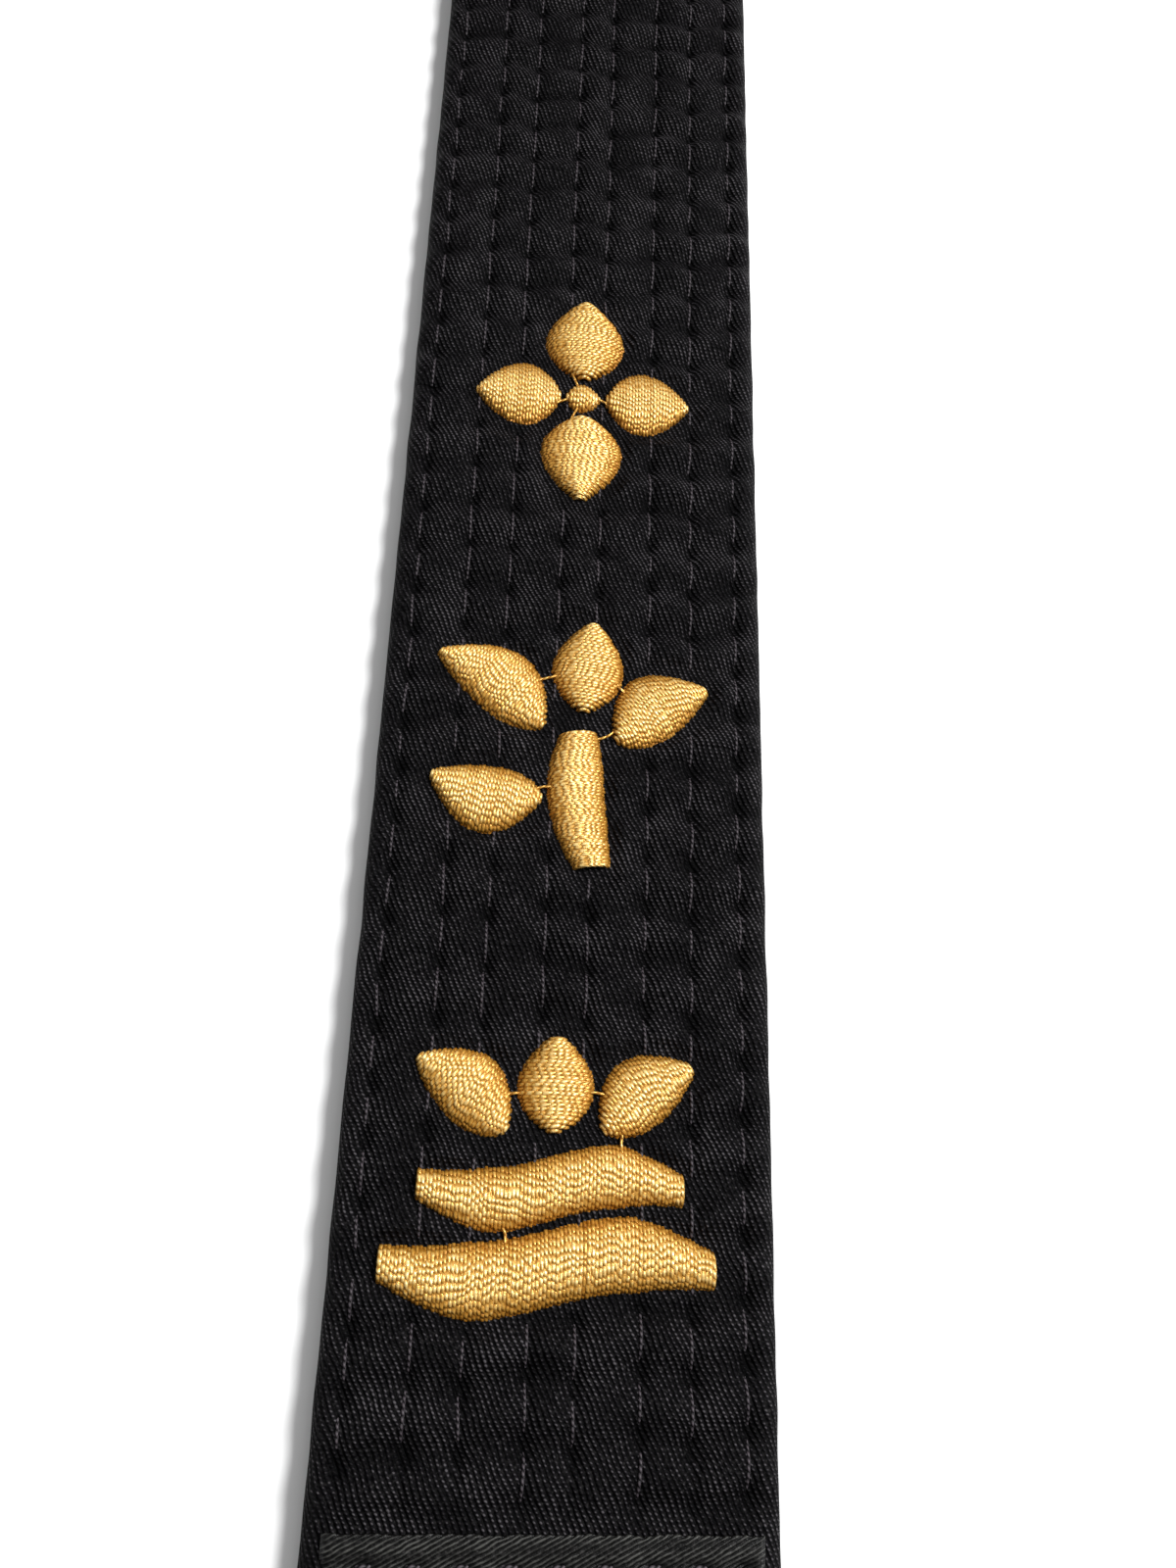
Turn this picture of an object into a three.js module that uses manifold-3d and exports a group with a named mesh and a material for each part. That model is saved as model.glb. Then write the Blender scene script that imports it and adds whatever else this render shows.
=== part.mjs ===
// A cotton martial arts belt: one straight, face-up end and the rest of its length wound into a roll.
// Millimetres. +Y runs along the belt from its end hem to the roll, +X across it, +Z up out of its face.
import * as THREE from "three";
import { mergeVertices } from "three/addons/utils/BufferGeometryUtils.js";
import Module from "manifold-3d";

const wasm = await Module();
wasm.setup();

// Belt
const beltLength = 2800;
const beltWidth = 45;
const coverCloth = 0.8;
const plyCount = 3;
const plyThickness = 0.9;
const layerGap = 0.05;
const coverSeamGap = 0.3;
const coverSeamX = 11;

// Lying end and roll
const tailLength = 280;
const rollEyeRadius = 10;
const turnGap = 0.3;
const footGap = 0.3;
const facetsPerTurn = 16;

// Bends: one halfway past each emblem
const bendLimit = THREE.MathUtils.degToRad(45);
const bendGap = 0.4;

// Stitching: rows across the belt, in loose pairs; each is a share of the way between the outer two
const rowMarginLeft = 2.6;
const rowMarginRight = 3.4;
const rowShares = [0, 0.156, 0.285, 0.444, 0.564, 0.728, 0.859, 1];
const threadWidth = 0.5;
const threadHeight = 0.3;
const rowEndMargin = 0.5;

// End hem: a turned band over the end, with one row of cross stitching
const hemLength = 7;
const hemInset = 2;
const hemCloth = 0.7;
const hemGap = 0.3;
const innerHemFacets = 2;
const crossStitchPlace = 4.7;
const crossStitchInset = 2.5;

// Embroidery: satin pads on the face, over the stitch rows
const firstEmblemPlace = 38.4;
const emblemPitch = 48;
const satinHeight = 1.1;
const satinGap = 0.1;
const satinSteps = 8;

const thickness = 2 * coverCloth + plyCount * plyThickness + (plyCount + 1) * layerGap;
const cavityWidth = beltWidth - 2 * coverCloth;
const plyWidth = cavityWidth - 2 * layerGap;
const midHeight = thickness / 2;
const rowSpan = beltWidth - rowMarginLeft - rowMarginRight;
const hemWidth = beltWidth - 2 * hemInset;
const hemLow = thickness + hemGap;
const emblemPlace = (index) => firstEmblemPlace + index * emblemPitch;
const stretchNames = ["tail_end", "tail_middle", "tail_upper"];
const bendPlaces = stretchNames.map((_, i) => emblemPlace(i + 0.5));
const firstRollBend = bendPlaces.at(-1);
const rollPitch = thickness + turnGap;
const rollRadius = Math.sqrt(rollEyeRadius ** 2 + (rollPitch * (beltLength - tailLength)) / Math.PI);
const hemOverhang = hemGap + hemCloth;
const rollReach = rollRadius - rollPitch / 4 + midHeight;
const overallLength = hemOverhang + tailLength + rollReach;
const endY = hemOverhang - overallLength / 2;
const rollY = endY + tailLength;
const rollTurns = (rollRadius - rollEyeRadius) / rollPitch;
const rollFacets = Math.round(rollTurns * facetsPerTurn);
const facetAngle = (2 * Math.PI) / facetsPerTurn;

const blackTwill = () => new THREE.MeshStandardMaterial({ color: 0x1c1a1d, roughness: 0.95, metalness: 0 });
const blackCanvas = () => new THREE.MeshStandardMaterial({ color: 0x26241f, roughness: 1, metalness: 0 });
const blackThread = () => new THREE.MeshStandardMaterial({ color: 0x3a3638, roughness: 0.6, metalness: 0 });
const goldSatin = () => new THREE.MeshStandardMaterial({ color: 0xdcb96c, roughness: 0.4, metalness: 0 });

function namedMesh(name, geometry, material) {
  const mesh = new THREE.Mesh(geometry, material);
  mesh.name = name;
  return mesh;
}

// A side profile in the Y-Z plane, extruded across the belt and centred on x.
function extrudeAcross(profile, width, x = 0) {
  const shape = new THREE.Shape(profile.map(([y, z]) => new THREE.Vector2(y, z)));
  const geometry = new THREE.ExtrudeGeometry(shape, { depth: width, bevelEnabled: false });
  const across = new THREE.Matrix4().makeBasis(
    new THREE.Vector3(0, 1, 0),
    new THREE.Vector3(0, 0, 1),
    new THREE.Vector3(1, 0, 0),
  );
  return geometry.applyMatrix4(across).translate(x - width / 2, 0, 0);
}

function toSolid(geometry) {
  const bare = geometry.clone();
  bare.deleteAttribute("normal");
  bare.deleteAttribute("uv");
  const merged = mergeVertices(bare, 1e-4);
  const mesh = new wasm.Mesh({
    numProp: 3,
    vertProperties: new Float32Array(merged.attributes.position.array),
    triVerts: new Uint32Array(merged.index.array),
  });
  return new wasm.Manifold(mesh);
}

function toGeometry(solid) {
  const mesh = solid.getMesh();
  const geometry = new THREE.BufferGeometry();
  geometry.setAttribute("position", new THREE.BufferAttribute(mesh.vertProperties, 3));
  geometry.setIndex(new THREE.BufferAttribute(mesh.triVerts, 1));
  geometry.computeVertexNormals();
  return geometry;
}

// The end face of a layer at a bend: it leans back from the middle height, so that both
// sides of the bend clear each other at its limit. facing is +1 where the layer ends towards +Y.
function bendFace(place, facing, low, high) {
  const heights = low < midHeight && high > midHeight ? [low, midHeight, high] : [low, high];
  const lean = (z) => bendGap / 2 + Math.abs(z - midHeight) * Math.tan(bendLimit / 2);
  return heights.map((z) => [endY + place - facing * lean(z), z]);
}

const squareFace = (y, low, high) => [[y, low], [y, high]];

// A straight layer between two heights; each end is a bend's place or a plain y.
function straightProfile(start, end, low, high) {
  const startFace = start.bend ? bendFace(start.bend, -1, low, high) : squareFace(start.y, low, high);
  const endFace = end.bend ? bendFace(end.bend, 1, low, high) : squareFace(end.y, low, high);
  return [...endFace, ...startFace.reverse()];
}

// A point of the roll at an angle from its foot; height is that of the layer in the lying end.
function rollPoint(angle, height) {
  const radius = rollRadius - (rollPitch * angle) / (2 * Math.PI) + midHeight - height;
  return [rollY + radius * Math.sin(angle), midHeight + rollRadius - radius * Math.cos(angle)];
}

// A band of the roll between two heights, from one facet to another.
function rollBand(low, high, firstFacet, lastFacet) {
  const angles = [];
  for (let facet = firstFacet; facet <= lastFacet; facet++) angles.push(facet * facetAngle);
  const outer = angles.map((angle) => rollPoint(angle, low));
  const inner = angles.map((angle) => rollPoint(angle, high));
  return [outer, inner];
}

// A layer that runs from a start face to the roll's foot and round to its eye.
// overrun lengthens it past the eye, for cutting.
function rolledProfile(startFace, low, high, overrun = 0) {
  const [outer, inner] = rollBand(low, high, 0, rollFacets);
  if (overrun) {
    outer.push(rollPoint((rollFacets + overrun) * facetAngle, low));
    inner.push(rollPoint((rollFacets + overrun) * facetAngle, high));
  }
  return [...outer, ...inner.reverse(), ...startFace.reverse()];
}

// Cover cloth: one piece wrapped round the plies, its two edges meeting in a seam on the back.
function cover(outerProfile, cavityProfile, seamProfile) {
  const outside = toSolid(extrudeAcross(outerProfile, beltWidth));
  const cavity = toSolid(extrudeAcross(cavityProfile, cavityWidth));
  const seam = toSolid(extrudeAcross(seamProfile, coverSeamGap, coverSeamX));
  return toGeometry(outside.subtract(cavity).subtract(seam));
}

const cavityLow = coverCloth;
const cavityHigh = thickness - coverCloth;
const cutOverrun = 4;
const eyeOverrun = 0.2;
const seamLow = -1;
const seamHigh = (cavityLow + cavityHigh) / 2;

function straightCover(start, end, firstY, lastY) {
  const past = (low, high) =>
    straightProfile({ y: firstY - cutOverrun }, { y: lastY + cutOverrun }, low, high);
  return cover(
    straightProfile(start, end, 0, thickness),
    past(cavityLow, cavityHigh),
    past(seamLow, seamHigh),
  );
}

function plyHeights(index) {
  const low = coverCloth + layerGap + index * (plyThickness + layerGap);
  return [low, low + plyThickness];
}

// One stretch of the lying end: cover, plies and the eight rows of needle thread on its face.
function tailStretch(name, start, end, firstY, lastY) {
  const group = new THREE.Group();
  group.add(namedMesh(`cover_${name}`, straightCover(start, end, firstY, lastY), blackTwill()));
  for (let i = 0; i < plyCount; i++) {
    const profile = straightProfile(start, end, ...plyHeights(i));
    group.add(namedMesh(`ply_${i + 1}_${name}`, extrudeAcross(profile, plyWidth), blackCanvas()));
  }
  const threadLow = thickness + layerGap;
  const rowStart = start.bend ? start : { y: start.y + hemLength + rowEndMargin };
  const rowProfile = straightProfile(rowStart, end, threadLow, threadLow + threadHeight);
  rowShares.forEach((share, i) => {
    const x = rowMarginLeft + share * rowSpan - beltWidth / 2;
    const row = extrudeAcross(rowProfile, threadWidth, x);
    group.add(namedMesh(`needle_thread_${i + 1}_${name}`, row, blackThread()));
  });
  return group;
}

// The wound length. Its cover is in two stretches: the run from the last bend to the roll's
// foot, and the turns; the plies run through both.
function roll() {
  const group = new THREE.Group();
  const runEnd = rollY - footGap;
  const run = straightCover({ bend: firstRollBend }, { y: runEnd }, endY + firstRollBend, runEnd);
  group.add(namedMesh("cover_roll_run", run, blackTwill()));
  const past = (low, high) => rolledProfile(squareFace(rollY - cutOverrun, low, high), low, high, eyeOverrun);
  const turns = cover(
    rolledProfile([], 0, thickness),
    past(cavityLow, cavityHigh),
    past(seamLow, seamHigh),
  );
  group.add(namedMesh("cover_roll_turns", turns, blackTwill()));
  for (let i = 0; i < plyCount; i++) {
    const [low, high] = plyHeights(i);
    const profile = rolledProfile(bendFace(firstRollBend, -1, low, high), low, high);
    group.add(namedMesh(`ply_${i + 1}_roll`, extrudeAcross(profile, plyWidth), blackCanvas()));
  }
  return group;
}

// The turned band over the lying end and its row of cross stitching.
function outerHem() {
  const group = new THREE.Group();
  const profile = [
    [-hemOverhang, 0],
    [-hemGap, 0],
    [-hemGap, hemLow],
    [hemLength, hemLow],
    [hemLength, hemLow + hemCloth],
    [-hemOverhang, hemLow + hemCloth],
  ];
  group.add(namedMesh("hem_band_outer", extrudeAcross(profile, hemWidth), blackTwill()));
  const threadLow = hemLow + hemCloth + hemGap;
  const thread = straightProfile(
    { y: crossStitchPlace - threadWidth / 2 },
    { y: crossStitchPlace + threadWidth / 2 },
    threadLow,
    threadLow + threadHeight,
  );
  const crossWidth = hemWidth - 2 * crossStitchInset;
  group.add(namedMesh("hem_stitching_outer", extrudeAcross(thread, crossWidth), blackThread()));
  group.position.y = endY;
  return group;
}

// The same band at the belt's other end, curved with the last facets in the roll's eye.
function innerHem() {
  const [outer, inner] = rollBand(hemLow, hemLow + hemCloth, rollFacets - innerHemFacets, rollFacets);
  return namedMesh("hem_band_inner", extrudeAcross([...outer, ...inner.reverse()], hemWidth), blackTwill());
}

// A satin leaf: a pointed, bowed pad from one point to another. bow pushes its middle sideways.
function leaf({ from, to, bow = 0, width, blunt = 0 }) {
  const start = new THREE.Vector2(...from);
  const end = new THREE.Vector2(...to);
  const along = end.clone().sub(start);
  const side = new THREE.Vector2(-along.y, along.x).normalize();
  const edge = (sign) =>
    Array.from({ length: satinSteps + 1 }, (_, i) => {
      const t = i / satinSteps;
      const swell = blunt + (1 - blunt) * Math.sin(Math.PI * t ** 0.85) ** 0.8;
      const push = bow * Math.sin(Math.PI * t) + (sign * width * swell) / 2;
      return start.clone().addScaledVector(along, t).addScaledVector(side, push);
    });
  const points = [...edge(-1), ...edge(1).reverse()];
  return blunt ? points : points.filter((_, i) => i !== satinSteps + 1 && i !== points.length - 1);
}

// A satin wave: a band of even width whose middle line swings up and down.
function wave({ from, to, swing, width }) {
  const edge = (sign) =>
    Array.from({ length: 2 * satinSteps + 1 }, (_, i) => {
      const t = i / (2 * satinSteps);
      const x = from[0] + (to[0] - from[0]) * t;
      const y = from[1] + (to[1] - from[1]) * t + swing * Math.sin(2 * Math.PI * t);
      const taper = Math.min(1, 0.45 + 2.2 * Math.min(t, 1 - t));
      return new THREE.Vector2(x, y + (sign * width * taper) / 2);
    });
  return [...edge(-1), ...edge(1).reverse()];
}

// Emblems from the belt's end up, each drawn about its centre.
const emblems = [
  {
    name: "waves",
    x: -0.7,
    pads: {
      wave_low: wave({ from: [-16.8, -8.7], to: [16.8, -8.7], swing: -1.4, width: 7 }),
      wave_high: wave({ from: [-13.6, -1.2], to: [13.6, -1.2], swing: -1.3, width: 6 }),
      crown_left: leaf({ from: [-5, 4.2], to: [-14.6, 11.4], bow: -1, width: 7.2 }),
      crown_middle: leaf({ from: [0, 4.2], to: [0, 14.2], width: 8 }),
      crown_right: leaf({ from: [5, 4.6], to: [14.6, 11.4], bow: 1, width: 7.2 }),
    },
  },
  {
    name: "sprig",
    x: -0.4,
    pads: {
      leaf_top: leaf({ from: [1.2, 3.6], to: [2.2, 15.4], width: 8.4 }),
      leaf_upper_left: leaf({ from: [-3.4, 1.4], to: [-16, 10.2], bow: -1.6, width: 8.2 }),
      leaf_upper_right: leaf({ from: [5.2, 0.2], to: [16, 7.6], bow: 1.4, width: 8.2 }),
      leaf_lower_left: leaf({ from: [-3.2, -7.4], to: [-16, -5.2], bow: 1.6, width: 8 }),
      stem: leaf({ from: [0.8, 0.8], to: [2.8, -15.4], bow: -1, width: 6.4, blunt: 0.6 }),
    },
  },
  {
    name: "rosette",
    x: -0.5,
    pads: {
      petal_top: leaf({ from: [0, 3], to: [0, 15.6], width: 10.4 }),
      petal_bottom: leaf({ from: [0, -3], to: [0, -15.6], width: 10.4 }),
      petal_left: leaf({ from: [-3, 0], to: [-13.8, 0], width: 9.6 }),
      petal_right: leaf({ from: [3, 0], to: [13.8, 0], width: 9.6 }),
      heart: leaf({ from: [-2.2, 0], to: [2.2, 0], width: 4.2 }),
    },
  },
];

function embroidery({ name, x, pads }, index) {
  const group = new THREE.Group();
  for (const [pad, outline] of Object.entries(pads)) {
    const shape = new THREE.Shape(outline);
    const geometry = new THREE.ExtrudeGeometry(shape, { depth: satinHeight, bevelEnabled: false });
    group.add(namedMesh(`${name}_${pad}`, geometry, goldSatin()));
  }
  const base = thickness + layerGap + threadHeight + satinGap;
  group.position.set(x, endY + emblemPlace(index), base);
  return group;
}

const belt = new THREE.Group();

stretchNames.forEach((name, i) => {
  const firstPlace = i ? bendPlaces[i - 1] : 0;
  const start = i ? { bend: firstPlace } : { y: endY };
  const end = { bend: bendPlaces[i] };
  belt.add(tailStretch(name, start, end, endY + firstPlace, endY + bendPlaces[i]));
});

belt.add(roll());

belt.add(outerHem(), innerHem());

emblems.forEach((emblem, i) => belt.add(embroidery(emblem, i)));

export default belt;
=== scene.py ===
import bpy
import math
import numpy as np
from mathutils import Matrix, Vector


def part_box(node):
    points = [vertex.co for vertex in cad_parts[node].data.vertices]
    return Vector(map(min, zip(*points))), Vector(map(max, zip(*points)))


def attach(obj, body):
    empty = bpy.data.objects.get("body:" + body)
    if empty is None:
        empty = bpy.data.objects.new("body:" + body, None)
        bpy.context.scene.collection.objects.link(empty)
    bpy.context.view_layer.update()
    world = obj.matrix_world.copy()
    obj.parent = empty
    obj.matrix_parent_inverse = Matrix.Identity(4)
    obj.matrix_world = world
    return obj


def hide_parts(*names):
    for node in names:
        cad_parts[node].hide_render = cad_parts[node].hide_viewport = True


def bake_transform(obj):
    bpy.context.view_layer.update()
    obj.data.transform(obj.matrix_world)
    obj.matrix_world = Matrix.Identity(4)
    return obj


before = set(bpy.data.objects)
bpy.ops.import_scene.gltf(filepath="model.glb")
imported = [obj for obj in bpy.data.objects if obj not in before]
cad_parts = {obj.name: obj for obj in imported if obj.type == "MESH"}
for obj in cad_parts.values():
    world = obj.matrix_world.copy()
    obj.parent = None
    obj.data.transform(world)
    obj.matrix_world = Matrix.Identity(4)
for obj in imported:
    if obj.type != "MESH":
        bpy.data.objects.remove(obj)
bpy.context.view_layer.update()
mm = 0.001

belt = {
    "width": 45 * mm,
    "thickness": 4.5 * mm,
    "cloth": 0.7 * mm,  # the twill itself
    "edgeRadius": 1.9 * mm,
    "seamAt": 11 * mm,  # where the wrapped cloth meets, on the back
    "seamGap": 0.3 * mm,
    "length": 2.8,
    "tail": 0.28,  # from the belt's end to the foot of the roll
    "turnPitch": 4.8 * mm,
    "eyeRadius": 10 * mm,
    "emblemAt": [38.4 * mm, 86.4 * mm, 134.4 * mm],
}
rows = {
    "left": 2.6 * mm,
    "right": 3.4 * mm,
    "shares": [0, 0.156, 0.285, 0.444, 0.564, 0.728, 0.859, 1],
    "stitch": 5.8 * mm,
    "thread": 0.34 * mm,
    "starts": [0.1, 0.32, 0.24, 0.46, 0.31, 0.55, 0.43, 0.68],  # each row's first hole, in stitches
    "fromEnd": 8.4 * mm,  # no stitch starts nearer the belt's end
}
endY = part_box("cover_tail_end")[0].y
wound = belt["length"] - belt["tail"]
rollRadius = math.sqrt(belt["eyeRadius"] ** 2 + belt["turnPitch"] * wound / math.pi)
footY = endY + belt["tail"]
rowX = [rows["left"] + share * (belt["width"] - rows["left"] - rows["right"]) - belt["width"] / 2
        for share in rows["shares"]]


def pathAt(s):
    # place, direction and face normal of the belt's middle line, in the Y-Z plane
    s = np.asarray(s, float)
    inRoll = np.clip(s - belt["tail"], 0, None)
    turn = belt["turnPitch"] / (2 * math.pi)
    angle = (rollRadius - np.sqrt(np.clip(rollRadius ** 2 - 2 * turn * inRoll, 0, None))) / turn
    radius = rollRadius - turn * angle
    flat = s < belt["tail"]
    y = np.where(flat, endY + s, footY + radius * np.sin(angle))
    z = np.where(flat, 0, rollRadius - radius * np.cos(angle)) + belt["thickness"] / 2
    cosine, sine = np.cos(angle), np.sin(angle)
    return np.stack([y, z], -1), np.stack([cosine, sine], -1), np.stack([-sine, cosine], -1)


def onPath(x, s, height):
    # points at x across, s along and height above the middle line
    place, _, out = pathAt(s)
    y, z = place[..., 0] + out[..., 0] * height, place[..., 1] + out[..., 1] * height
    return np.stack([x + 0 * s, y, z], -1)


def softNoise(x, y, seed, waves=7):
    # a few slow waves in random directions, mostly between -1 and 1
    rng = np.random.default_rng(seed)
    total = 0
    for _ in range(waves):
        a, f, p = rng.uniform(0, 2 * math.pi), rng.uniform(0.6, 1.5), rng.uniform(0, 2 * math.pi)
        total = total + np.sin(2 * math.pi * f * (x * math.cos(a) + y * math.sin(a)) + p)
    return total / waves * 1.6


relief = {
    "pillow": 0.34 * mm,
    "groove": 0.22 * mm,
    "grooveWidth": 0.5 * mm,
    "pit": 0.5 * mm,
    "pitWidth": 0.75 * mm,
    "pitLength": 1.0 * mm,
    "pucker": 0.2 * mm,
    "puckerReach": 1.7 * mm,
    "fold": 0.4 * mm,  # cross folds that run from hole to hole
    "waves": 0.18 * mm,
    "backShare": 0.45,
    "backRise": 0.3 * mm,
    "woundLift": 0.24 * mm,  # closes the gap between the roll's turns
    "deepest": 0.8 * mm,  # the plies are just under this
    "drift": 0.1 * mm,  # how far the ribs are pulled sideways between rows
    "pressDepth": 0.12 * mm,  # how far the embroidery holds the cloth down, and how far round it
    "pressMargin": 0.3 * mm,
    "pressFade": 1.5 * mm,
    "pressWithin": 24 * mm,  # no emblem reaches further along the belt
    "hemFade": 3 * mm,  # the cloth is pressed flat under the hems
    "insideTurns": 0.25,  # how much of the relief is left where only the edges show
}


def leaf(start, end, width, bow=0.0, blunt=0.0):
    start, end = np.array(start) * mm, np.array(end) * mm
    along = end - start
    side = np.array([-along[1], along[0]]) / np.hypot(*along)

    def edges(t):
        swell = blunt + (1 - blunt) * np.clip(np.sin(math.pi * t ** 0.85), 0, 1) ** 0.8
        spine = start + along * t[:, None] + side * (bow * mm * np.sin(math.pi * t))[:, None]
        half = side * (width * mm * swell / 2)[:, None]
        return spine - half, spine + half

    return edges


def wave(start, end, swing, width):
    start, end = np.array(start) * mm, np.array(end) * mm

    def edges(t):
        spine = start + (end - start) * t[:, None]
        spine = spine + np.stack([t * 0, swing * mm * np.sin(2 * math.pi * t)], -1)
        taper = np.minimum(1, 0.45 + 2.2 * np.minimum(t, 1 - t))
        half = np.stack([t * 0, width * mm * taper / 2], -1)
        return spine - half, spine + half

    return edges


emblems = [
    {"name": "waves", "body": "tail_end", "x": -0.7 * mm, "pads": {
        "wave_low": wave((-16.8, -8.7), (16.8, -8.7), -1.4, 7),
        "wave_high": wave((-13.6, -1.2), (13.6, -1.2), -1.3, 6),
        "crown_left": leaf((-5, 4.2), (-14.6, 11.4), 7.2, -1),
        "crown_middle": leaf((0, 4.2), (0, 14.2), 8),
        "crown_right": leaf((5, 4.6), (14.6, 11.4), 7.2, 1)}},
    {"name": "sprig", "body": "tail_middle", "x": -0.4 * mm, "pads": {
        "leaf_top": leaf((1.2, 3.6), (2.2, 15.4), 8.4),
        "leaf_upper_left": leaf((-3.4, 1.4), (-16, 10.2), 8.2, -1.6),
        "leaf_upper_right": leaf((5.2, 0.2), (16, 7.6), 8.2, 1.4),
        "leaf_lower_left": leaf((-3.2, -7.4), (-16, -5.2), 8, 1.6),
        "stem": leaf((0.8, 0.8), (2.8, -15.4), 6.4, -1, 0.6)}},
    {"name": "rosette", "body": "tail_upper", "x": -0.5 * mm, "pads": {
        "petal_top": leaf((0, 3), (0, 15.6), 10.4),
        "petal_bottom": leaf((0, -3), (0, -15.6), 10.4),
        "petal_left": leaf((-3, 0), (-13.8, 0), 9.6),
        "petal_right": leaf((3, 0), (13.8, 0), 9.6),
        "heart": leaf((-2.2, 0), (2.2, 0), 4.2)}},
]


def padPress(x, s):
    # 1 where the embroidery holds the cloth down, 0 away from it
    press = np.zeros(np.broadcast(x, s).shape)
    t = np.linspace(0, 1, 26)
    for emblem, place in zip(emblems, belt["emblemAt"]):
        near = np.abs(s - place) < relief["pressWithin"]
        if not near.any():
            continue
        px, py = (x - emblem["x"])[near], (s - place)[near]
        gap = np.full(px.shape, 1.0)
        for edges in emblem["pads"].values():
            low, high = edges(t)
            for (cx, cy), half in zip((low + high) / 2, np.hypot(*(high - low).T) / 2):
                gap = np.minimum(gap, np.hypot(px - cx, py - cy) - half)
        hold = np.clip(1 - (gap - relief["pressMargin"]) / relief["pressFade"], 0, 1)
        press[near] = np.maximum(press[near], hold * hold * (3 - 2 * hold))
    return press


def quilted(x, s, seed, face):
    # height of the cloth over its flat place, and how far the ribs are pulled
    edges = [-belt["width"] / 2 - 1 * mm] + rowX + [belt["width"] / 2 + 1 * mm]
    k = np.clip(np.searchsorted(edges, x) - 1, 0, len(edges) - 2)
    low, high = np.take(edges, k), np.take(edges, k + 1)
    t = (x - low) / (high - low)
    p = rows["stitch"]
    height = relief["pillow"] * (0.45 + 0.1 * (high - low) / mm) * np.sin(math.pi * t) ** 0.75
    starts = np.array([0.5] + rows["starts"] + [0.5])
    phaseLow, phaseHigh = np.take(starts, k), np.take(starts, k + 1)
    swing = 2 * math.pi * (s / p - phaseLow * (1 - t) - phaseHigh * t)
    strength = 1 + 0.6 * softNoise(x / (14 * mm), s / (18 * mm), seed + 60)
    height = height - relief["fold"] * np.cos(swing) * (0.35 + 0.65 * np.sin(math.pi * t)) * strength
    pull = relief["drift"] * np.sin(swing) * np.sin(2 * math.pi * t)
    for i, rx in enumerate(rowX):
        dx = x - rx
        ds = (s / p - rows["starts"][i] + 0.5) % 1 * p - p / 2
        uneven = 1 + 0.25 * softNoise(s / (11 * mm), dx * 0 + i * 3.1, seed + i)
        height = height - relief["groove"] * np.exp(-((dx / relief["grooveWidth"]) ** 2))
        hole = np.exp(-((dx / relief["pitWidth"]) ** 2) - (ds / relief["pitLength"]) ** 2)
        height = height - relief["pit"] * uneven * hole
        near = np.exp(-np.abs(dx) / relief["puckerReach"])
        height = height - relief["pucker"] * uneven * near * np.cos(2 * math.pi * ds / p)
    height = height + relief["waves"] * softNoise(x / (12 * mm), s / (15 * mm), seed + 40)
    if face:
        press = padPress(x, s)
        height = height * (1 - press) - relief["pressDepth"] * press
    byEdge = np.clip((belt["width"] / 2 - np.abs(x)) / (3 * mm), 0, 1)
    height = height * (0.45 + 0.55 * byEdge)
    fromEnds = np.minimum(s, belt["length"] - s) - rows["fromEnd"]
    fade = np.clip(fromEnds / relief["hemFade"] + 0.5, 0, 1)
    return np.maximum(height, -relief["deepest"]) * fade, pull * fade


def newObject(name, points, faces, uv=None, material=None, smooth=True):
    mesh = bpy.data.meshes.new(name)
    faces = np.asarray(faces, np.int32)
    sides = faces.shape[1]
    mesh.vertices.add(len(points))
    mesh.vertices.foreach_set("co", np.asarray(points, np.float32).ravel())
    mesh.loops.add(faces.size)
    mesh.loops.foreach_set("vertex_index", faces.ravel())
    mesh.polygons.add(len(faces))
    mesh.polygons.foreach_set("loop_start", np.arange(0, faces.size, sides, dtype=np.int32))
    mesh.update(calc_edges=True)
    mesh.validate()
    if uv is not None:
        layer = mesh.uv_layers.new(name="cloth")
        index = np.zeros(len(mesh.loops), np.int32)
        mesh.loops.foreach_get("vertex_index", index)
        layer.data.foreach_set("uv", np.asarray(uv, np.float32)[index].ravel())
    mesh.polygons.foreach_set("use_smooth", np.full(len(mesh.polygons), smooth))
    obj = bpy.data.objects.new(name, mesh)
    bpy.context.scene.collection.objects.link(obj)
    if material:
        mesh.materials.append(material)
    return obj


def windingFlip(points, faces):
    # turns every face over if the closed shape is inside out
    a, b, c, d = (points[faces[:, i]] for i in range(4))
    volume = np.einsum("ij,ij->i", a, np.cross(b, c)).sum() + np.einsum("ij,ij->i", a, np.cross(c, d)).sum()
    return faces if volume > 0 else faces[:, ::-1]


def ringFaces(stations, half):
    # a closed loop of outer then inner points at each station, capped at both ends
    n = 2 * half
    i, j = np.meshgrid(np.arange(stations - 1), np.arange(n), indexing="ij")
    k = (j + 1) % n
    walls = np.stack([i * n + j, (i + 1) * n + j, (i + 1) * n + k, i * n + k], -1).reshape(-1, 4)
    c = np.arange(half - 1)
    first = np.stack([c, c + 1, n - 2 - c, n - 1 - c], -1)
    last = (first + (stations - 1) * n)[:, ::-1]
    return np.concatenate([walls, first, last])


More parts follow.
